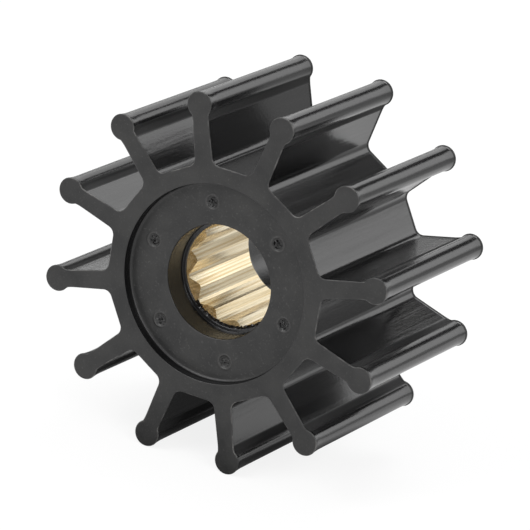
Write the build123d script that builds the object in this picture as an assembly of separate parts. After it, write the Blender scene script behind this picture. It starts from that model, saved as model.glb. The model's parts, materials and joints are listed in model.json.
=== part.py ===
# Flexible rubber impeller for a raw-water pump: a twelve-bladed moulding on a splined brass bush.
# Millimetres and degrees. The shaft axis is Y, the origin is on it half way along the hub,
# the front face looks towards -Y, and the impeller rests on the beads of its two lowest blades.
from build123d import *
from math import cos, radians, tan
import os

os.makedirs("parts", exist_ok=True)

# Overall form of the moulding
blade_count = 12
impeller_diameter = 57.2
impeller_width = 31.2

# Blades and the round beads at their tips
bead_diameter = 3.6
bead_end_diameter = 4.0
bead_flare_length = 0.75
blade_tip_thickness = 2.3
blade_root_thickness = 2.8
neck_fillet = 0.7
root_fillet = 1.4

# Hub, with one flat between each two blades
hub_across_flats = 35.0
recess_diameter = 30.0
recess_depth = 1.7
bore_diameter = 17.2

# Marks that the mould's pins leave in the floor of the front recess
pin_mark_count = 6
pin_mark_diameter = 1.8
pin_mark_depth = 0.5
pin_mark_circle_diameter = 23.9

# Brass bush and the spline in it
bush_outer_diameter = 21.0
bush_length = 18.8
bush_set_back = 6.4
tooth_count = 12
spline_root_diameter = 15.9
tooth_height = 0.5
tooth_tip_land = 0.4
tooth_root_land = 0.4
first_tooth_angle = 3.2
lead_in_angle = 17.0
rear_chamfer_angle = 28.0

# Thin rubber lip over each end of the bush, just clear of the spline
lip_thickness = 0.3
lip_clearance = 0.1

# Sizes that follow from the ones above
half_width = impeller_width / 2
blade_pitch = 360 / blade_count
first_blade = blade_pitch / 2
bead_circle_radius = (impeller_diameter - bead_end_diameter) / 2
hub_corner_radius = hub_across_flats / 2 / cos(radians(blade_pitch / 2))
spline_root_radius = spline_root_diameter / 2
spline_tip_radius = spline_root_radius - tooth_height
lip_radius = spline_root_radius + lip_clearance
bush_front = half_width - bush_set_back
bush_back = bush_front - bush_length
# A cutter passes this far out of a face, so that it never ends flush with it
cut_past = 1.0


def blade_outline():
    """One blade along X, from the middle of the hub to the centre of its bead."""
    root = blade_root_thickness / 2
    tip = blade_tip_thickness / 2
    taper = (root - tip) / (bead_circle_radius - hub_across_flats / 2)
    centre = root + taper * hub_across_flats / 2
    corners = [
        (0, -centre),
        (bead_circle_radius, -tip),
        (bead_circle_radius, tip),
        (0, centre),
    ]
    return make_face(Polyline(*corners, close=True))


def impeller_outline():
    """The moulding's section: a flat-sided hub, the blades and their beads, with both sets of fillets."""
    blade = blade_outline() + Pos(bead_circle_radius, 0) * Circle(bead_diameter / 2)
    outline = Rot(Z=first_blade) * RegularPolygon(hub_corner_radius, blade_count)
    outline += [Rot(Z=first_blade + k * blade_pitch) * blade for k in range(blade_count)]
    middle = (hub_corner_radius + bead_circle_radius) / 2
    roots = [v for v in outline.vertices() if Vector(v).length < middle]
    outline = fillet(roots, root_fillet)
    necks = [v for v in outline.vertices() if middle < Vector(v).length < bead_circle_radius]
    return fillet(necks, neck_fillet)


def bead_flare():
    """The last stretch of a bead at the front face, which opens out to the full diameter."""
    middle = half_width - bead_flare_length / 2
    return Pos(0, 0, middle) * Cone(bead_diameter / 2, bead_end_diameter / 2, bead_flare_length)


def hub_passage():
    """What is cut out of the hub: the front recess, the bore, the two lips and the seat of the bush."""
    recess = recess_diameter / 2
    bore = bore_diameter / 2
    seat = bush_outer_diameter / 2
    front_floor = half_width - recess_depth
    front_lip = bush_front + lip_thickness
    back_lip = bush_back - lip_thickness
    points = [
        (0, half_width + cut_past),
        (recess, half_width + cut_past),
        (recess, front_floor),
        (bore, front_floor),
        (bore, front_lip),
        (lip_radius, front_lip),
        (lip_radius, bush_front),
        (seat, bush_front),
        (seat, bush_back),
        (lip_radius, bush_back),
        (lip_radius, back_lip),
        (bore, back_lip),
        (bore, -half_width - cut_past),
        (0, -half_width - cut_past),
    ]
    return revolve(Plane.XZ * make_face(Polyline(*points, close=True)), Axis.Z)


def pin_marks():
    """Shallow round marks in the floor of the front recess, in line with every second blade."""
    depth = pin_mark_depth + recess_depth
    mark = Pos(0, 0, half_width - depth / 2) * Cylinder(pin_mark_diameter / 2, depth)
    ring = PolarLocations(pin_mark_circle_diameter / 2, pin_mark_count, start_angle=first_blade + blade_pitch)
    return [place * mark for place in ring]


def rubber_body():
    """Hub, blades and beads as the one moulding that they are."""
    body = extrude(impeller_outline(), impeller_width / 2, both=True)
    flare = bead_flare()
    flares = [flare, mirror(flare, about=Plane.XY)]
    for place in PolarLocations(bead_circle_radius, blade_count, start_angle=first_blade):
        body += [place * end for end in flares]
    body -= hub_passage()
    body -= pin_marks()
    return body


def spline_outline():
    """The toothed hole: straight flanks, with a narrow flat at the foot and the tip of each tooth."""
    pitch = 360 / tooth_count
    points = []
    for k in range(tooth_count):
        tip_angle = first_tooth_angle + k * pitch
        root_angle = tip_angle + pitch / 2
        for angle, radius, land in (
            (tip_angle, spline_tip_radius, tooth_tip_land),
            (root_angle, spline_root_radius, tooth_root_land),
        ):
            points.append(Vector(radius, -land / 2).rotate(Axis.Z, angle))
            points.append(Vector(radius, land / 2).rotate(Axis.Z, angle))
    return make_face(Polyline(*points, close=True))


def mouth_cone(angle):
    """A cone from the lip's edge down to the tooth tips, pointing along -Z from z = 0."""
    depth = (lip_radius - spline_tip_radius) / tan(radians(angle))
    return Pos(0, 0, -depth / 2) * Cone(spline_tip_radius, lip_radius, depth)


def splined_bush():
    """The brass bush: a plain outside, the spline, a long lead-in in front and a chamfer behind."""
    middle = (bush_front + bush_back) / 2
    bush = Pos(0, 0, middle) * Cylinder(bush_outer_diameter / 2, bush_length)
    bush -= Pos(0, 0, middle) * extrude(spline_outline(), bush_length / 2 + cut_past, both=True)
    bush -= Pos(0, 0, bush_front) * mouth_cone(lead_in_angle)
    bush -= Pos(0, 0, bush_back) * (Rot(X=180) * mouth_cone(rear_chamfer_angle))
    return bush


# The pieces are built with the shaft axis upright and the front face on top, then laid down
lay_down = Rot(X=90)
for name, piece in (("rubber_body", rubber_body()), ("splined_bush", splined_bush())):
    export_step(lay_down * piece, f"parts/{name}.step")
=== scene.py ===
# A rubber pump impeller on its splined brass bush, dressed for a plain studio picture
import json
from math import atan2, cos, hypot, pi, radians, sin, sqrt, tan

import bmesh
import bpy
from mathutils import Matrix, Vector

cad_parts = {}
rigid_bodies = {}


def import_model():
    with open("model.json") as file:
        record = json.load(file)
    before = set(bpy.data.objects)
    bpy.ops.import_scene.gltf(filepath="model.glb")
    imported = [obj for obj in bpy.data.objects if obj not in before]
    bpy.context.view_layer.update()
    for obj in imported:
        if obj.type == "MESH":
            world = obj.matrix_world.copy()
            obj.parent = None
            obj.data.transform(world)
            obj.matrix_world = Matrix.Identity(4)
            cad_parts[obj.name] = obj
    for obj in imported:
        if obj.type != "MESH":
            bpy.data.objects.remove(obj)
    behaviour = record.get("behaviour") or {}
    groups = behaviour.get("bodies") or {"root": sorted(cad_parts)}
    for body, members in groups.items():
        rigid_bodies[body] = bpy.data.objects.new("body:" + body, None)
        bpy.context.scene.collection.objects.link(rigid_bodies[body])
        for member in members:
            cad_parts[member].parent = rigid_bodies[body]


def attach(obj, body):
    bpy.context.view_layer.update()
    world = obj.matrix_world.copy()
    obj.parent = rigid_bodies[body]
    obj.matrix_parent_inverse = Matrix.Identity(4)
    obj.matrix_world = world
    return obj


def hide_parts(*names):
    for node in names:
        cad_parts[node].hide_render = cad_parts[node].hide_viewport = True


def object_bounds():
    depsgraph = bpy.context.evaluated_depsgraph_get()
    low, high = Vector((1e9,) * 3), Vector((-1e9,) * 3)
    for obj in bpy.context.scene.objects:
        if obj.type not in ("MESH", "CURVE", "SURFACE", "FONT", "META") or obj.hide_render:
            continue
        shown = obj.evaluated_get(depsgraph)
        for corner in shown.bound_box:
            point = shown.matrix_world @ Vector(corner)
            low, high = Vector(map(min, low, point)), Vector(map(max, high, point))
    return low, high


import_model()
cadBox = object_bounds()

mm = 0.001
weldDistance = 0.002 * mm
turnedSteps = 144          # points round a turned form
print("frame loaded")


# Drawing in edit mode

def startPiece(name):  # an empty mesh, open in edit mode
    bpy.ops.object.select_all(action="DESELECT")
    bpy.ops.mesh.primitive_plane_add(size=mm)
    piece = bpy.context.object
    piece.name = name
    bpy.ops.object.mode_set(mode="EDIT")
    bpy.ops.mesh.delete(type="VERT")
    bpy.ops.mesh.select_mode(type="VERT")
    return piece


def clearSelection(mesh):
    for part in (mesh.verts, mesh.edges, mesh.faces):
        for item in part:
            item.select = False


def selectPoints(piece, test):  # select the points for which test(point) is true
    mesh = bmesh.from_edit_mesh(piece.data)
    clearSelection(mesh)
    for point in mesh.verts:
        point.select = test(point)
    mesh.select_flush_mode()
    bmesh.update_edit_mesh(piece.data)


def selectParts(piece, kind, test):  # the same for "edges" or "faces"
    mesh = bmesh.from_edit_mesh(piece.data)
    clearSelection(mesh)
    for part in getattr(mesh, kind):
        if test(part):
            part.select_set(True)
    bmesh.update_edit_mesh(piece.data)


def stampNew(piece, number):  # number the points drawn since the last stamp, so they can be found again
    mesh = bmesh.from_edit_mesh(piece.data)
    layer = mesh.verts.layers.int.get("drawn") or mesh.verts.layers.int.new("drawn")
    for point in mesh.verts:
        if point[layer] == 0:
            point[layer] = number


def selectStamped(piece, numbers):
    layer = bmesh.from_edit_mesh(piece.data).verts.layers.int["drawn"]
    selectPoints(piece, lambda p: p[layer] in numbers)


def dropPoint(place):  # a single new point, selected
    bpy.ops.mesh.select_all(action="DESELECT")
    bpy.ops.mesh.primitive_circle_add(vertices=3, radius=0.01 * mm, location=place)
    bpy.ops.mesh.merge(type="CENTER")


def lineBy(step, count=1):  # go straight on from the selected point
    for _ in range(count):
        bpy.ops.mesh.extrude_vertices_move(TRANSFORM_OT_translate={"value": Vector(step) / count})


def drawPath(points):
    dropPoint(points[0])
    for here, there in zip(points, points[1:]):
        lineBy(Vector(there) - Vector(here))


def spinAround(centre, angle, steps, copies=False):  # positive turns from +X towards +Z
    bpy.ops.mesh.spin(steps=steps, angle=angle, center=centre, axis=(0, 1, 0), dupli=copies)


def weld():
    bpy.ops.mesh.select_all(action="SELECT")
    bpy.ops.mesh.remove_doubles(threshold=weldDistance)


def finishPiece(piece, smoothAngle, node):  # turn the normals outward, then hand the piece over
    bpy.ops.mesh.select_all(action="SELECT")
    bpy.ops.mesh.normals_make_consistent(inside=False)
    mesh = bmesh.from_edit_mesh(piece.data)
    openEdges = sum(1 for edge in mesh.edges if not edge.is_manifold)
    print(piece.name, "open edges:", openEdges, "volume mm3:", round(mesh.calc_volume() * 1e9, 1))
    bpy.ops.object.mode_set(mode="OBJECT")
    bpy.ops.object.shade_smooth_by_angle(angle=radians(smoothAngle))
    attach(piece, "root")
    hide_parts(node)
    print(piece.name, "done:", len(piece.data.polygons), "faces")


# The rubber moulding

rubber = {  # millimetres
    "blades": 12,
    "firstBlade": 15.0,        # degrees from +X towards +Z
    "faceY": 15.6,             # end faces
    "hubFlat": 17.5,           # from the shaft's axis to each flat of the hub
    "beadCircle": 26.6,
    "rootHalf": 1.4,           # half of a blade's thickness where it leaves the hub
    "tipHalf": 1.15,
    "rootFillet": 1.4,
    "neckFillet": 0.7,
    "swellRadius": 8.0,        # a blade thickens a little before its neck, in a long curve
    "swellStart": 2.75,        # from the bead's centre
    "steps": {"flat": 2, "root": 9, "flank": 3, "swell": 4, "neck": 7, "bead": 22},
    "recess": 15.0,
    "floorY": 13.9,
    "bore": 8.6,
    "lipEdge": 8.05,
    "lipThickness": 0.3,
    "seat": 10.5,
    "bushFront": 9.2,
    "bushBack": 9.6,
    "rimRounding": (0.12, 3),  # radius, steps
    "footRounding": (0.5, 5),
    "mouthRounding": (0.18, 4),
    "lipRoundings": ((0.05, 3), (0.08, 4)),
    "rimMargin": 0.3,          # width of flat ground kept round each turned form
    "floorMargin": 0.8,
    "mouthMargin": 0.45,
    "smoothAngle": 38,
}

# How the section changes along the shaft: place, radius of the bead, how far everything is drawn in
frontSections = [  # the very edge stands a little proud, where the mould's halves meet
    (-15.600, 1.900, 0.300), (-15.600, 1.900, 0.040), (-15.585, 1.900, -0.030), (-15.540, 1.900, -0.080),
    (-15.480, 1.900, -0.098), (-15.420, 1.900, -0.080), (-15.370, 1.910, -0.022), (-15.320, 1.920, 0.012),
    (-15.240, 1.930, 0.008), (-14.950, 1.915, 0.000), (-14.500, 1.880, 0.000),
    (-13.900, 1.830, 0.000), (-13.200, 1.803, 0.000), (-12.300, 1.795, 0.000),
]
backSections = [
    (12.600, 1.795, 0.000), (13.400, 1.803, 0.000), (14.000, 1.822, 0.000), (14.500, 1.850, 0.000),
    (14.950, 1.870, 0.000), (15.130, 1.880, 0.000), (15.180, 1.885, -0.030), (15.240, 1.885, -0.095),
    (15.320, 1.885, -0.110), (15.460, 1.885, -0.108), (15.550, 1.885, -0.075), (15.600, 1.885, -0.010),
    (15.600, 1.885, 0.250),
]


def sectionMarks(beadRadius, inset):
    # Centres of the two fillets and where the curves meet, for a blade along +X, lower half
    slope = (rubber["rootHalf"] - rubber["tipHalf"]) / (rubber["beadCircle"] - rubber["hubFlat"])
    centreHalf = rubber["rootHalf"] + slope * rubber["hubFlat"]
    length = hypot(1, slope)
    along, out = Vector((1 / length, slope / length)), Vector((slope / length, -1 / length))
    half = radians(180 / rubber["blades"])
    flatOut = Vector((cos(half), -sin(half)))
    flatAway, sideAway = rubber["hubFlat"] + rubber["rootFillet"], centreHalf / length + rubber["rootFillet"]
    det = flatOut.x * out.y - flatOut.y * out.x
    meeting = (flatAway * out.y - flatOut.y * sideAway, flatOut.x * sideAway - flatAway * out.x)
    rootCentre = Vector(meeting) / det
    rootRadius, swellRadius = rubber["rootFillet"] + inset, rubber["swellRadius"] + inset
    bead = Vector((rubber["beadCircle"], 0))
    swellStart = along * (bead.dot(along) - rubber["swellStart"])
    swellCentre = out * (centreHalf / length + rubber["swellRadius"]) + swellStart
    # The neck's fillet touches the bead from outside and the swell's arc from inside
    toBead = bead - swellCentre
    near, far = rubber["swellRadius"] - rubber["neckFillet"], beadRadius + rubber["neckFillet"]
    reach = (near ** 2 - far ** 2 + toBead.length_squared) / (2 * toBead.length)
    aside = Vector((toBead.y, -toBead.x)).normalized() * sqrt(near ** 2 - reach ** 2)
    neckCentre = swellCentre + toBead.normalized() * reach - aside
    toNeck = (neckCentre - swellCentre).normalized()
    return {
        "flatMiddle": flatOut * (rubber["hubFlat"] - inset),
        "rootCentre": rootCentre,
        "rootStart": rootCentre - flatOut * rootRadius,
        "rootEnd": rootCentre - out * rootRadius,
        "neckCentre": neckCentre,
        "swellCentre": swellCentre,
        "swellStart": swellCentre - out * swellRadius,
        "neckStart": swellCentre + toNeck * swellRadius,
        "neckEnd": bead + (neckCentre - bead).normalized() * (beadRadius - inset),
        "bead": bead,
        "tip": bead + Vector((beadRadius - inset, 0)),
    }


def inSpace(flat, y):
    return Vector((flat.x * mm, y * mm, flat.y * mm))


def arcTo(centre, start, end, steps, y):
    turn = atan2(end.y - centre.y, end.x - centre.x) - atan2(start.y - centre.y, start.x - centre.x)
    turn = (turn + pi) % (2 * pi) - pi
    spinAround(inSpace(centre, y), turn, steps)


def drawSection(y, beadRadius, inset):  # half of a blade's sector, from the hub's flat to the bead's tip
    marks, steps = sectionMarks(beadRadius, inset), rubber["steps"]
    dropPoint(inSpace(marks["flatMiddle"], y))
    lineBy(inSpace(marks["rootStart"] - marks["flatMiddle"], 0), steps["flat"])
    arcTo(marks["rootCentre"], marks["rootStart"], marks["rootEnd"], steps["root"], y)
    lineBy(inSpace(marks["swellStart"] - marks["rootEnd"], 0), steps["flank"])
    arcTo(marks["swellCentre"], marks["swellStart"], marks["neckStart"], steps["swell"], y)
    arcTo(marks["neckCentre"], marks["neckStart"], marks["neckEnd"], steps["neck"], y)
    arcTo(marks["bead"], marks["neckEnd"], marks["tip"], steps["bead"], y)


def onPlane(y):  # edges of open rims that lie on one plane
    return lambda edge: edge.is_boundary and all(abs(p.co.y - y * mm) < 0.001 * mm for p in edge.verts)


def spinProfile(points, steps, centre=(0, 0, 0), start=0.0, angle=2 * pi):  # from a profile of (radius, y)
    x, z = cos(start) * mm, sin(start) * mm
    drawPath([(centre[0] + r * x, y * mm, centre[2] + r * z) for r, y in points])
    bpy.ops.mesh.select_linked()
    spinAround(centre, angle, steps)
    bpy.ops.mesh.select_linked()
    bpy.ops.mesh.remove_doubles(threshold=weldDistance)


def roundCorner(corner, before, after, radius, steps):  # points of a small rounding, in profile
    corner, before, after = Vector(corner), Vector(before), Vector(after)
    start = corner + (before - corner).normalized() * radius
    end = corner + (after - corner).normalized() * radius
    centre = start + end - corner
    first, last = atan2(*(start - centre).yx), atan2(*(end - centre).yx)
    turn = (last - first + pi) % (2 * pi) - pi
    angles = [first + turn * i / steps for i in range(steps + 1)]
    return [tuple(centre + Vector((cos(angle), sin(angle))) * radius) for angle in angles]


moulding = startPiece("rubberMoulding")
sections = frontSections + backSections
for k, (y, beadRadius, inset) in enumerate(sections):
    drawSection(y, beadRadius, inset)
    stampNew(moulding, k + 1)
for k in range(1, len(sections)):
    selectStamped(moulding, (k, k + 1))
    bpy.ops.mesh.bridge_edge_loops()
bpy.ops.mesh.select_all(action="SELECT")
bpy.ops.mesh.duplicate()
bpy.ops.transform.resize(value=(1, 1, -1), center_override=(0, 0, 0))
weld()
bpy.ops.transform.rotate(value=radians(rubber["firstBlade"]), orient_axis="Y", center_override=(0, 0, 0))
spinAround((0, 0, 0), radians(360 - 360 / rubber["blades"]), rubber["blades"] - 1, copies=True)
weld()
bpy.ops.object.mode_set(mode="OBJECT")
print("blades drawn:", len(moulding.data.polygons), "faces")

pinMarks = {  # what the mould's pins leave in the front recess, millimetres
    "count": 6,
    "firstAngle": 45.0,
    "circle": 11.95,
    "profile": [
        (1.70, 0), (1.45, 0), (1.30, 0.02), (1.18, 0.07), (1.08, 0.09),
        (0.98, 0.05), (0.92, -0.01), (0.88, -0.05), (0.82, -0.08), (0.72, -0.08),
        (0.60, -0.07), (0.46, -0.06), (0.32, -0.06), (0.18, -0.06), (0, -0.06),
    ],
    "barHalf": 0.17,           # a bar across each mark is left standing between two torn hollows
    "barAngles": [-40, -25, 50, -60, 20, -35],
    "hollows": [0.17, 0.13, 0.14, 0.10, 0.08, 0.15],
    "hollowRadius": 0.68,
    "tornRadius": 0.80,
    "raggedness": 0.045,
    "steps": 36,
}


def besideBar(middle, across):  # a test for the points of a mark that lie beside its bar
    def test(point):
        away = point.co - middle
        inside = away.xz.length < pinMarks["hollowRadius"] * mm
        return inside and abs(away.dot(across)) > pinMarks["barHalf"] * mm
    return test


recess, floorY, bore = rubber["recess"], rubber["floorY"], rubber["bore"]
turned = startPiece("turnedForms")
for k in range(pinMarks["count"]):
    angle = radians(pinMarks["firstAngle"] + k * 360 / pinMarks["count"])
    middle = Vector((pinMarks["circle"] * cos(angle) * mm, 0, pinMarks["circle"] * sin(angle) * mm))
    spinProfile([(r, -floorY - rise) for r, rise in pinMarks["profile"]], pinMarks["steps"], middle)
    turn = radians(pinMarks["barAngles"][k])
    selectPoints(turned, besideBar(middle, Vector((-sin(turn), 0, cos(turn)))))
    bpy.ops.transform.translate(value=(0, pinMarks["hollows"][k] * mm, 0))
    selectPoints(turned, lambda p: (p.co - middle).xz.length < pinMarks["tornRadius"] * mm)
    bpy.ops.transform.vertex_random(offset=pinMarks["raggedness"] * mm, uniform=0.7, normal=0.3, seed=k + 3)

faceY, lipEdge = rubber["faceY"], rubber["lipEdge"]
outerRounding, innerRounding = rubber["lipRoundings"]
start, end = (recess + rubber["rimMargin"], faceY), (recess - rubber["floorMargin"], floorY)
rim = roundCorner((recess, faceY), start, (recess, floorY), *rubber["rimRounding"])
foot = roundCorner((recess, floorY), (recess, faceY), end, *rubber["footRounding"])
spinProfile([(r, -y) for r, y in [start] + rim + foot + [end]], turnedSteps)
for side, mouthY, lipIn in ((-1, floorY, rubber["bushFront"]), (1, faceY, rubber["bushBack"])):
    lipOut = lipIn + rubber["lipThickness"]
    profile = [(bore + rubber["mouthMargin"], mouthY)]
    profile += roundCorner((bore, mouthY), (recess, mouthY), (bore, 0), *rubber["mouthRounding"])
    profile += roundCorner((bore, lipOut), (bore, floorY), (lipEdge, lipOut), *outerRounding)
    profile += roundCorner((lipEdge, lipOut), (bore, lipOut), (lipEdge, lipIn), *innerRounding)
    profile += [(lipEdge, lipIn), (rubber["seat"], lipIn), (rubber["seat"], 0)]
    spinProfile([(r, side * y) for r, y in profile], turnedSteps)

mouthFlash = {  # torn rubber on the bush's lead-in, lowest in the mouth: degrees, millimetres
    "from": 226.0,
    "to": 318.0,
    "steps": 96,
    "profile": [(8.10, -9.46), (7.94, -9.44), (7.78, -9.20), (7.72, -8.98), (7.88, -8.84), (8.10, -8.90)],
    "middle": (8.0, -9.1),     # of the profile: radius, y
    "endReach": 0.45,          # each end is closed from the points this near to its middle
    "outerRadius": 8.2,
    "tornY": (-9.45, -8.8),
    "raggedness": 0.19,
}
first, last = radians(mouthFlash["from"]), radians(mouthFlash["to"])
ring = mouthFlash["profile"] + mouthFlash["profile"][:1]
sweep = radians(mouthFlash["to"] - mouthFlash["from"])
spinProfile(ring, mouthFlash["steps"], start=first, angle=sweep)
radius, flashY = mouthFlash["middle"]
reach, outside = mouthFlash["endReach"] * mm, mouthFlash["outerRadius"] * mm
for angle in (first, last):
    end = Vector((radius * cos(angle) * mm, flashY * mm, radius * sin(angle) * mm))
    selectPoints(turned, lambda p: p.is_boundary and (p.co - end).length < reach and p.co.xz.length < outside)
    bpy.ops.mesh.edge_face_add()
low, high = mouthFlash["tornY"]
selectPoints(turned, lambda p: low * mm < p.co.y < high * mm and hypot(p.co.x, p.co.z) < radius * mm)
bpy.ops.transform.vertex_random(offset=mouthFlash["raggedness"] * mm, uniform=0.4, normal=0, seed=11)
bpy.ops.object.mode_set(mode="OBJECT")
print("turned forms drawn:", len(turned.data.polygons), "faces")

bpy.ops.object.select_all(action="DESELECT")
turned.select_set(True)
moulding.select_set(True)
bpy.context.view_layer.objects.active = moulding
bpy.ops.object.join()
bpy.ops.object.mode_set(mode="EDIT")
weld()
for y in (-faceY, faceY, -floorY):
    selectParts(moulding, "edges", onPlane(y))
    bpy.ops.mesh.fill(use_beauty=True)
weld()
finishPiece(moulding, rubber["smoothAngle"], "rubber_body")


# The brass bush

brass = {  # millimetres
    "teeth": 12,
    "firstTooth": 3.2,         # degrees from +X towards +Z
    "root": 7.95,
    "tip": 7.45,
    "tipLand": 0.20,           # half of the narrow flat on each tooth
    "rootLand": 0.24,
    "broachMarks": 0.010,      # how far the broach's lines stray from the flanks
    "outside": 10.5,
    "frontY": -9.2,
    "backY": 9.6,
    "mouth": 8.05,
    "leadIn": 17.0,            # degrees from the shaft's direction
    "rearChamfer": 28.0,
    "cutPast": (0.6, 0.4),     # how far a mouth's cutter passes the end face, and the teeth's tips
    "flankCuts": 6,
    "cornersPast": (7.46, 7.92),   # points outside these radii are corners, and stay where they are
    "cornerReach": 0.02,
    "smoothAngle": 3,
}


def toothOutline(piece, y):  # the toothed hole, drawn as one closed line
    pitch, tip, root = 2 * pi / brass["teeth"], brass["tip"], brass["root"]
    land, foot = brass["tipLand"] / tip, brass["rootLand"] / root
    first = radians(brass["firstTooth"])
    half, last = pitch / 2, pitch - land
    marks = [(0, tip), (land, tip), (half - foot, root), (half + foot, root), (last, tip), (pitch, tip)]
    drawPath([inSpace(Vector((r * cos(first + turn), r * sin(first + turn))), y) for turn, r in marks])
    bpy.ops.mesh.select_all(action="SELECT")
    spinAround((0, 0, 0), 2 * pi - pitch, brass["teeth"] - 1, copies=True)
    weld()
    selectParts(piece, "edges", lambda edge: edge.calc_length() > 1.0 * mm)   # the flanks
    bpy.ops.mesh.subdivide(number_cuts=brass["flankCuts"])
    places = [p.co.copy() for p in bmesh.from_edit_mesh(piece.data).verts]
    low, high = brass["cornersPast"]
    corners = [c for c in places if not low * mm < hypot(c.x, c.z) < high * mm]
    reach = brass["cornerReach"] * mm
    selectPoints(piece, lambda p: all((p.co - corner).length > reach for corner in corners))
    bpy.ops.transform.vertex_random(offset=brass["broachMarks"] * mm, uniform=0, normal=0, seed=5)
    bpy.ops.mesh.select_all(action="SELECT")
    bpy.ops.transform.resize(value=(1, 0, 1), center_override=(0, y * mm, 0))


def cutCone(target, y, direction, angle):  # a cone that opens towards one end, cut out of the bush
    overshoot, inside = brass["cutPast"]
    slope = tan(radians(angle))
    depth = (brass["mouth"] - brass["tip"] + inside) / slope
    bpy.ops.object.select_all(action="DESELECT")
    bpy.ops.mesh.primitive_cone_add(
        vertices=turnedSteps, radius1=(brass["mouth"] + overshoot * slope) * mm,
        radius2=(brass["tip"] - inside) * mm, depth=(depth + overshoot) * mm,
        location=(0, (y - direction * (depth - overshoot) / 2) * mm, 0), rotation=(direction * pi / 2, 0, 0))
    cutter = bpy.context.object
    bpy.ops.object.transform_apply(location=True, rotation=True, scale=True)
    bpy.ops.object.select_all(action="DESELECT")
    target.select_set(True)
    bpy.context.view_layer.objects.active = target
    cut = target.modifiers.new("mouth", "BOOLEAN")
    cut.object = cutter
    cut.operation = "DIFFERENCE"
    cut.solver = "EXACT"
    bpy.ops.object.modifier_apply(modifier=cut.name)
    bpy.data.objects.remove(cutter)


bush = startPiece("brassBush")
toothOutline(bush, brass["frontY"])
bpy.ops.mesh.select_all(action="DESELECT")
bpy.ops.mesh.primitive_circle_add(
    vertices=turnedSteps, radius=brass["outside"] * mm,
    location=(0, brass["frontY"] * mm, 0), rotation=(pi / 2, 0, 0))
bpy.ops.mesh.select_all(action="SELECT")
bpy.ops.mesh.fill(use_beauty=True)
bpy.ops.mesh.select_all(action="SELECT")
along = (0, (brass["backY"] - brass["frontY"]) * mm, 0)
bpy.ops.mesh.extrude_region_move(TRANSFORM_OT_translate={"value": along})
bpy.ops.mesh.select_all(action="SELECT")
bpy.ops.mesh.normals_make_consistent(inside=False)
bpy.ops.object.mode_set(mode="OBJECT")
cutCone(bush, brass["frontY"], -1, brass["leadIn"])
cutCone(bush, brass["backY"], 1, brass["rearChamfer"])
bpy.ops.object.mode_set(mode="EDIT")
weld()
finishPiece(bush, brass["smoothAngle"], "splined_bush")


# Materials

def addNode(tree, kind, **values):
    node = tree.nodes.new(kind)
    for key, value in values.items():
        if hasattr(node, key):
            setattr(node, key, value)
        else:
            node.inputs[key].default_value = value
    return node


def give(tree, socket, value):  # a number or colour is set, another node's output is linked
    if isinstance(value, bpy.types.NodeSocket):
        tree.links.new(value, socket)
    else:
        socket.default_value = value


def maths(tree, operation, *values):
    node = addNode(tree, "ShaderNodeMath", operation=operation)
    for socket, value in zip(node.inputs, values):
        give(tree, socket, value)
    return node.outputs[0]


def mapped(tree, value, start, end, low=0.0, high=1.0, smooth=False):  # start to end becomes low to high
    node = addNode(tree, "ShaderNodeMapRange", interpolation_type="SMOOTHSTEP" if smooth else "LINEAR")
    names = ("Value", "From Min", "From Max", "To Min", "To Max")
    for name, given in zip(names, (value, start, end, low, high)):
        give(tree, node.inputs[name], given)
    return node.outputs["Result"]


def blend(tree, share, first, second, kind="RGBA"):
    node = addNode(tree, "ShaderNodeMix", data_type=kind)
    for name, given in (("Factor", share), ("A", first), ("B", second)):
        give(tree, node.inputs[name], given)
    return node.outputs["Result"]


def objectPlace(tree):
    return tree.nodes.new("ShaderNodeTexCoord").outputs["Object"]


def noise(tree, place, scale, detail, roughness):
    node = addNode(tree, "ShaderNodeTexNoise", Scale=scale, Detail=detail, Roughness=roughness)
    tree.links.new(place, node.inputs["Vector"])
    return node.outputs["Fac"]


def newMaterial(name):
    material = bpy.data.materials.new(name)
    material.use_nodes = True
    return material, material.node_tree, material.node_tree.nodes["Principled BSDF"]


def finishSurface(tree, shader, colour, rough, height, bumpLook):
    strength, depth = bumpLook
    bump = addNode(tree, "ShaderNodeBump", Strength=strength, Distance=depth * mm)
    give(tree, bump.inputs["Height"], height)
    give(tree, shader.inputs["Base Color"], colour)
    give(tree, shader.inputs["Roughness"], rough)
    give(tree, shader.inputs["Normal"], bump.outputs["Normal"])


# Noise is given as scale, detail, roughness, lines as how close across and how drawn out along the
# shaft, and a bump as its strength and its depth in millimetres
mouldedLook = {
    "colour": (0.0010, 0.0010, 0.0015, 1),
    "colourWorn": (0.0045, 0.0044, 0.0044, 1),
    "side": (1.62, (0.16, 0.24)),               # index of refraction, roughness
    "bore": (1.48, (0.20, 0.28)),
    "cloud": (160.0, 4.0, 0.6),
    "speck": (2200.0, 2.0, 0.5),
    "speckHeight": 0.45,
    "fineLines": (900, 0.03),
    "broadWaves": (170, 0.12),
    "waveHeight": 2.2,
    "bump": (1.0, 0.03),
    "neckBand": ((24.1, 24.6), (26.0, 25.5)),   # millimetres from the shaft's axis, each fading in
    "neckRoughness": 0.70,                      # added where the band lies
}
faceLook = {
    "colour": (0.0055, 0.0055, 0.0057, 1),
    "colourPale": (0.0145, 0.0143, 0.0139, 1),
    "roughness": (0.38, 0.50),
    "cloud": (220.0, 5.0, 0.6),
    "mottle": (0.36, 0.64),
    "grain": (3200.0, 2.0, 0.6),
    "dust": (0.60, 0.74, 0.8),                  # pale grains over the whole face: from, full, share
    "ringColour": (0.038, 0.037, 0.036, 1),
    "ring": (1.06, 0.20, 0.04),                 # radius, then how far beside it the ring starts and is full
    "bump": (0.5, 0.04),
}
edgeLook = {
    "colour": (0.018, 0.018, 0.018, 1),
    # colourPale here is a painted highlight along the front edge, laid on in patches
    "colourPale": (0.085, 0.083, 0.080, 1),
    "roughness": (0.32, 0.50),
    "patches": (420.0, 4.0, 0.7),
    "paintedHighlight": (0.47, 0.66),
    "bump": (0.6, 0.06),
}
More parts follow.
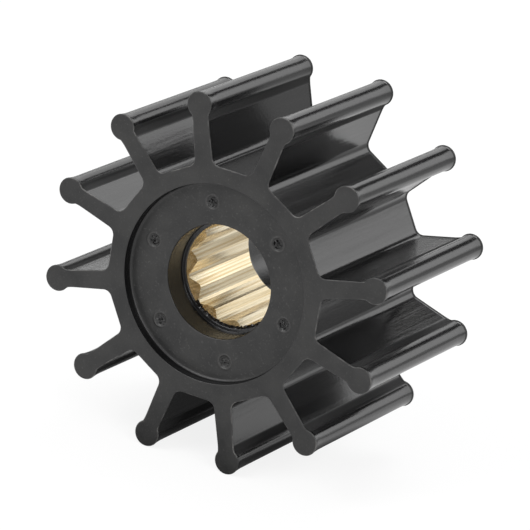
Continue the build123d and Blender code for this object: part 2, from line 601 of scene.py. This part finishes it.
brassLook = {
    "metallic": 0.92,
    "colour": (0.94, 0.83, 0.60, 1),
    "colourDeep": (0.68, 0.51, 0.26, 1),
    "lines": (2600, 0.012),
    "deepLines": (0.34, 0.56),
    # a dull colour mixed in towards the back of the bore as painted shade
    "deepShade": (0.44, 0.36, 0.22, 1),
    "deepShadeDepth": (-6.0, 6.0, 0.34),          # painted shade deep in the bore, millimetres along the shaft: it starts, is full, its share
    "roughness": (0.30, 0.22),
    "bump": (0.8, 0.01),
}


def newGroup(name, output):
    group = bpy.data.node_groups.new(name, "ShaderNodeTree")
    group.interface.new_socket(output, in_out="OUTPUT", socket_type="NodeSocketFloat")
    return group, group.nodes.new("NodeGroupOutput").inputs[output]


def lengthwiseStreaks():  # fine lines along the shaft's direction
    group, result = newGroup("lengthwiseStreaks", "Streaks")
    for name, value in (("Across", 1500), ("Stretch", 0.02)):
        group.interface.new_socket(name, in_out="INPUT", socket_type="NodeSocketFloat").default_value = value
    given = group.nodes.new("NodeGroupInput").outputs
    scale = group.nodes.new("ShaderNodeCombineXYZ")
    give(group, scale.inputs["X"], given["Across"])
    give(group, scale.inputs["Y"], maths(group, "MULTIPLY", given["Across"], given["Stretch"]))
    give(group, scale.inputs["Z"], given["Across"])
    squeeze = addNode(group, "ShaderNodeVectorMath", operation="MULTIPLY")
    give(group, squeeze.inputs[0], objectPlace(group))
    give(group, squeeze.inputs[1], scale.outputs[0])
    give(group, result, noise(group, squeeze.outputs[0], 1.0, 3.0, 0.6))
    return group


def neckBand():  # the blades' necks, where the moulding stays dull
    group, result = newGroup("neckBand", "Band")
    flat = addNode(group, "ShaderNodeVectorMath", operation="MULTIPLY")
    flat.inputs[1].default_value = (1, 0, 1)
    reach = addNode(group, "ShaderNodeVectorMath", operation="LENGTH")
    give(group, flat.inputs[0], objectPlace(group))
    give(group, reach.inputs[0], flat.outputs[0])
    ends = [mapped(group, reach.outputs["Value"], start * mm, end * mm, smooth=True)
            for start, end in mouldedLook["neckBand"]]
    give(group, result, maths(group, "MULTIPLY", *ends))
    return group


def ringedMarks():  # the raised ring round each of the pins' marks
    group, result = newGroup("ringedMarks", "Ring")
    pitch, first = 2 * pi / pinMarks["count"], radians(pinMarks["firstAngle"])
    apart = group.nodes.new("ShaderNodeSeparateXYZ")
    give(group, apart.inputs[0], objectPlace(group))
    x, y, z = apart.outputs
    flat, offset = (group.nodes.new("ShaderNodeCombineXYZ") for _ in range(2))
    reach, away = (addNode(group, "ShaderNodeVectorMath", operation="LENGTH") for _ in range(2))
    give(group, flat.inputs["X"], x)
    give(group, flat.inputs["Y"], z)
    give(group, reach.inputs[0], flat.outputs[0])
    # Every mark is turned to the first one's place, and measured from its middle
    near = maths(group, "WRAP", maths(group, "ARCTAN2", z, x), first + pitch / 2, first - pitch / 2)
    local = maths(group, "SUBTRACT", near, first)
    outward = maths(group, "MULTIPLY", maths(group, "COSINE", local), reach.outputs["Value"])
    sideways = maths(group, "MULTIPLY", maths(group, "SINE", local), reach.outputs["Value"])
    give(group, offset.inputs["X"], maths(group, "SUBTRACT", outward, pinMarks["circle"] * mm))
    give(group, offset.inputs["Y"], sideways)
    give(group, away.inputs[0], offset.outputs[0])
    radius, wide, narrow = faceLook["ring"]
    beside = maths(group, "ABSOLUTE", maths(group, "SUBTRACT", away.outputs["Value"], radius * mm))
    ring = mapped(group, beside, wide * mm, narrow * mm, smooth=True)
    onFront = maths(group, "LESS_THAN", y, 0.0)
    give(group, result, maths(group, "MULTIPLY", onFront, ring))
    return group


streakGroup, neckGroup, ringGroup = lengthwiseStreaks(), neckBand(), ringedMarks()


def streaks(tree, across, stretch):
    node = addNode(tree, "ShaderNodeGroup", node_tree=streakGroup)
    node.inputs["Across"].default_value, node.inputs["Stretch"].default_value = across, stretch
    return node.outputs["Streaks"]


def mouldedRubber(name, ior, roughness):  # glossy from the mould
    look = mouldedLook
    material, tree, shader = newMaterial(name)
    shader.inputs["IOR"].default_value = ior
    place = objectPlace(tree)
    cloud, speck = noise(tree, place, *look["cloud"]), noise(tree, place, *look["speck"])
    lines, waves = streaks(tree, *look["fineLines"]), streaks(tree, *look["broadWaves"])
    colour = blend(tree, cloud, look["colour"], look["colourWorn"])
    band = addNode(tree, "ShaderNodeGroup", node_tree=neckGroup).outputs["Band"]
    rough = mapped(tree, lines, 0, 1, *roughness)
    rough = maths(tree, "MULTIPLY_ADD", band, look["neckRoughness"], rough)
    height = maths(tree, "MULTIPLY_ADD", speck, look["speckHeight"], lines)
    height = maths(tree, "MULTIPLY_ADD", waves, look["waveHeight"], height)
    finishSurface(tree, shader, colour, rough, height, look["bump"])
    return material


def faceRubber():  # the end faces and the floor of the recess, matte
    material, tree, shader = newMaterial("faceRubber")
    look, place = faceLook, objectPlace(tree)
    cloud, grain = noise(tree, place, *look["cloud"]), noise(tree, place, *look["grain"])
    colour = blend(tree, mapped(tree, cloud, *look["mottle"]), look["colour"], look["colourPale"])
    ring = addNode(tree, "ShaderNodeGroup", node_tree=ringGroup).outputs["Ring"]
    start, full, share = look["dust"]
    dust = mapped(tree, grain, start, full, high=share)
    pale = maths(tree, "MAXIMUM", maths(tree, "MULTIPLY", ring, grain), dust)
    colour = blend(tree, pale, colour, look["ringColour"])
    rough = mapped(tree, cloud, 0, 1, *look["roughness"])
    finishSurface(tree, shader, colour, rough, grain, look["bump"])
    return material


def flashRubber():  # the thin edge that the mould leaves round the front face, with a painted highlight in pale patches along it
    material, tree, shader = newMaterial("flashRubber")
    look = edgeLook
    patches = noise(tree, objectPlace(tree), *look["patches"])
    # the pale patches are a painted highlight along the edge
    colour = blend(tree, mapped(tree, patches, *look["paintedHighlight"]), look["colour"], look["colourPale"])
    rough = mapped(tree, patches, 0, 1, *look["roughness"])
    finishSurface(tree, shader, colour, rough, patches, look["bump"])
    return material


def drawnBrass():  # drawing lines along the spline, with painted shade darkening it deep in the bore
    material, tree, shader = newMaterial("drawnBrass")
    look = brassLook
    shader.inputs["Metallic"].default_value = look["metallic"]
    lines = streaks(tree, *look["lines"])
    colour = blend(tree, mapped(tree, lines, *look["deepLines"]), look["colourDeep"], look["colour"])
    apart = tree.nodes.new("ShaderNodeSeparateXYZ")
    give(tree, apart.inputs[0], objectPlace(tree))
    # painted shade: the colour darkens towards the back of the bore
    start, full, share = look["deepShadeDepth"]
    depth = mapped(tree, apart.outputs["Y"], start * mm, full * mm, high=share, smooth=True)
    colour = blend(tree, depth, colour, look["deepShade"])
    rough = mapped(tree, lines, 0, 1, *look["roughness"])
    finishSurface(tree, shader, colour, rough, lines, look["bump"])
    return material


def wear(piece, materials):
    piece.data.materials.clear()
    for material in materials:
        piece.data.materials.append(material)


zones = {  # where one kind of rubber gives way to the next, millimetres
    "farEnd": 15.15,           # all that lies past it is matte
    "faceDepth": 0.5,          # and so are end faces and the recess's floor, to this depth below them
    "facing": 0.7,             # how squarely a matte face looks along the shaft
    "tornRadius": 8.02,
    "wallMargin": 0.06,
    "boreFrom": 9.95,
    "edgeY": (-15.598, -15.42),
    "edgeMargin": 0.5,
}


def isMatte(face):  # end faces, the floor of the recess and the sheared lip at the far end
    y = face.calc_center_median().y
    onEnd = abs(face.normal.y) > zones["facing"] and abs(y) > (floorY - zones["faceDepth"]) * mm
    return y > zones["farEnd"] * mm or onEnd


def isInside(face):  # walls of the recess and the bore, and the torn edge
    middle = face.calc_center_median()
    away = hypot(middle.x, middle.z)
    torn = away < zones["tornRadius"] * mm and middle.y < 0
    wall = away < (recess + zones["wallMargin"]) * mm and abs(middle.y) > zones["boreFrom"] * mm
    return torn or (wall and not isMatte(face))


def isEdge(face):  # the proud edge round the front face
    middle = face.calc_center_median()
    low, high = zones["edgeY"]
    outside = hypot(middle.x, middle.z) > (recess + zones["edgeMargin"]) * mm
    return outside and low * mm < middle.y < high * mm


sideRubber = mouldedRubber("sideRubber", *mouldedLook["side"])
boreRubber = mouldedRubber("boreRubber", *mouldedLook["bore"])
wear(moulding, [sideRubber, faceRubber(), boreRubber, flashRubber()])
bpy.ops.object.select_all(action="DESELECT")
moulding.select_set(True)
bpy.context.view_layer.objects.active = moulding
bpy.ops.object.mode_set(mode="EDIT")
bpy.ops.mesh.select_mode(type="FACE")
for slot, test in ((1, isMatte), (2, isInside), (3, isEdge)):
    selectParts(moulding, "faces", test)
    moulding.active_material_index = slot
    bpy.ops.object.material_slot_assign()
bpy.ops.mesh.select_mode(type="VERT")
bpy.ops.object.mode_set(mode="OBJECT")
wear(bush, [drawnBrass()])
print("materials given")


# Studio

studio = {
    "floorSize": 8.0,
    "floorDrop": 0.02,         # millimetres below the lowest point
    "floorWhite": 0.95,
    "floorGlow": 0.85,         # the share of the floor's white that is its own, in camera and glossy rays
    "floorFade": (0.085, 0.125, 0.45),   # in gloss it dims behind the object: from, to, by how much
    "floorSlant": 0.5,         # the line where it dims swings away on the right
    "floorShade": (0.026, 0.024, 0.07),  # in gloss it is dark under the object: half widths, brightness
    "shadeEdge": (0.7, 1.5),   # where that dark fades, in half widths
    "ambient": 0.72,           # plain light from all round, for matte light
    "lamps": [                 # place, size, watts
        ((-0.55, -0.85, 0.75), 0.8, 9.0),
        ((0.75, -0.55, 0.55), 0.6, 4.0),
        ((-0.10, 0.75, 1.10), 0.7, 6.0),
    ],
    "leftCard": ((-0.034, -0.50), 0.28, (0.062, 0.27), 1.15),   # a near card: x, y, z, brightness
    "farWall": 0.06,           # what stands round the object, seen in its gloss
    # Laid over it: brightness, degrees to the right of +Y, degrees above the floor (from, to, soft)
    "surroundings": [
        (1.65, (9.5, 62, 1.5), None),                # a tall softbox on the right
        (0.45, (-200, -75, 8), None),
        (0.45, (62, 200, 8), None),
        (0.60, None, (46, 120, 6)),                  # overhead
        (0.55, None, (-8, 8, 3)),                    # the horizon
        (0.12, (-75, -22, 3), (3, 14, 1.5)),
        (1.50, (-70, -24, 3), (-8, 2, 1.5)),         # low on the left the bright table is seen again
        (1.00, None, (-120, -8, 4)),
    ],
}
view = {  # the photograph's angle, in metres
    "place": (0.29087, -0.59228, 0.22176),
    "right": (0.8622, 0.4818, 0.1562),
    "down": (0.2866, -0.2099, -0.9347),
    "forward": (-0.4176, 0.8507, -0.3191),
    "lens": 318.4,
    "sensor": 36.0,
    "nearest": 0.01,
}


def seenRays(tree):  # 1 for rays from the camera, from gloss and through glass
    path = tree.nodes.new("ShaderNodeLightPath").outputs
    both = maths(tree, "MAXIMUM", path["Is Camera Ray"], path["Is Glossy Ray"])
    return maths(tree, "MAXIMUM", both, path["Is Transmission Ray"])


def between(tree, angle, low, high, soft):  # 1 between two angles in degrees, with soft ends
    up = mapped(tree, angle, radians(low - soft), radians(low + soft), smooth=True)
    down = mapped(tree, angle, radians(high + soft), radians(high - soft), smooth=True)
    return maths(tree, "MULTIPLY", up, down)


def mixShaders(tree, share, first, second, out):
    mix = tree.nodes.new("ShaderNodeMixShader")
    for socket, given in zip(mix.inputs, (share, first, second)):
        tree.links.new(given, socket)
    tree.links.new(mix.outputs[0], out.inputs["Surface"])


def buildWorld():
    world = bpy.data.worlds.new("studio")
    bpy.context.scene.world = world
    world.use_nodes = True
    tree = world.node_tree
    tree.nodes.clear()
    apart = tree.nodes.new("ShaderNodeSeparateXYZ")
    give(tree, apart.inputs[0], tree.nodes.new("ShaderNodeTexCoord").outputs["Generated"])
    x, y, z = apart.outputs
    side, height = maths(tree, "ARCTAN2", x, y), maths(tree, "ARCSINE", z)
    seen = studio["farWall"]
    for bright, sides, heights in studio["surroundings"]:
        masks = [between(tree, angle, *ends) for angle, ends in ((side, sides), (height, heights)) if ends]
        share = masks[0] if len(masks) == 1 else maths(tree, "MULTIPLY", *masks)
        seen = blend(tree, share, seen, bright, kind="FLOAT")
    backdrop, ambient = (tree.nodes.new("ShaderNodeBackground") for _ in range(2))
    tree.links.new(seen, backdrop.inputs["Color"])
    ambient.inputs["Color"].default_value = (1, 1, 1, 1)
    ambient.inputs["Strength"].default_value = studio["ambient"]
    out = tree.nodes.new("ShaderNodeOutputWorld")
    mixShaders(tree, seenRays(tree), ambient.outputs[0], backdrop.outputs[0], out)


def buildFloor():
    floorZ = cadBox[0][2] - studio["floorDrop"] * mm
    bpy.ops.object.select_all(action="DESELECT")
    bpy.ops.mesh.primitive_plane_add(size=studio["floorSize"], location=(0, 0, floorZ))
    floor = bpy.context.object
    floor.name = "floor"
    material, tree, shader = newMaterial("paleFloor")
    white = studio["floorWhite"]
    shader.inputs["Base Color"].default_value = (white, white, white, 1)
    shader.inputs["Roughness"].default_value = 0.9
    shader.inputs["Specular IOR Level"].default_value = 0.0
    place, apart = objectPlace(tree), tree.nodes.new("ShaderNodeSeparateXYZ")
    give(tree, apart.inputs[0], place)
    behind = maths(tree, "MULTIPLY_ADD", apart.outputs["X"], -studio["floorSlant"], apart.outputs["Y"])
    start, end, dim = studio["floorFade"]
    fade = mapped(tree, behind, start, end, 1.0, dim, smooth=True)
    halfX, halfY, dark = studio["floorShade"]
    squeeze = addNode(tree, "ShaderNodeVectorMath", operation="MULTIPLY")
    squeeze.inputs[1].default_value = (1 / halfX, 1 / halfY, 0)
    away = addNode(tree, "ShaderNodeVectorMath", operation="LENGTH")
    give(tree, squeeze.inputs[0], place)
    give(tree, away.inputs[0], squeeze.outputs[0])
    shade = mapped(tree, away.outputs["Value"], *studio["shadeEdge"], dark, 1.0, smooth=True)
    straight = tree.nodes.new("ShaderNodeLightPath").outputs["Is Camera Ray"]
    glow = addNode(tree, "ShaderNodeEmission", Strength=1.0)
    give(tree, glow.inputs["Color"], maths(tree, "MAXIMUM", maths(tree, "MULTIPLY", shade, fade), straight))
    share = maths(tree, "MULTIPLY", seenRays(tree), studio["floorGlow"])
    mixShaders(tree, share, shader.outputs[0], glow.outputs[0], tree.nodes["Material Output"])
    floor.data.materials.append(material)


def buildCard():  # seen only in gloss
    (right, left), back, (low, high), bright = studio["leftCard"]
    bpy.ops.object.select_all(action="DESELECT")
    middle = ((left + right) / 2, back, (low + high) / 2)
    bpy.ops.mesh.primitive_plane_add(size=1, location=middle, rotation=(pi / 2, 0, 0))
    card = bpy.context.object
    card.name = "card"
    card.scale = (right - left, high - low, 1)
    card.visible_camera = card.visible_diffuse = card.visible_shadow = False
    material, tree, _ = newMaterial("cardGlow")
    glow = addNode(tree, "ShaderNodeEmission", Strength=bright)
    tree.links.new(glow.outputs[0], tree.nodes["Material Output"].inputs["Surface"])
    card.data.materials.append(material)


def buildLamps():
    for k, (place, size, watts) in enumerate(studio["lamps"]):
        lamp = bpy.data.lights.new("lamp%d" % k, "AREA")
        lamp.shape = "DISK"
        lamp.size = size
        lamp.energy = watts
        holder = bpy.data.objects.new(lamp.name, lamp)
        bpy.context.scene.collection.objects.link(holder)
        holder.location = place
        holder.rotation_euler = (-Vector(place)).to_track_quat("-Z", "Y").to_euler()


def buildCamera():
    lens = bpy.data.cameras.new("camera")
    lens.lens = view["lens"]
    lens.sensor_width = view["sensor"]
    lens.clip_start = view["nearest"]
    camera = bpy.data.objects.new("camera", lens)
    bpy.context.scene.collection.objects.link(camera)
    right, down, forward = (Vector(view[name]) for name in ("right", "down", "forward"))
    turn = Matrix((right, -down, -forward)).transposed().to_4x4()
    camera.matrix_world = Matrix.Translation(view["place"]) @ turn
    bpy.context.scene.camera = camera


buildWorld()
buildFloor()
buildCard()
buildLamps()
buildCamera()
bpy.context.scene.view_settings.view_transform = "Standard"
print("studio built")

bpy.context.view_layer.update()
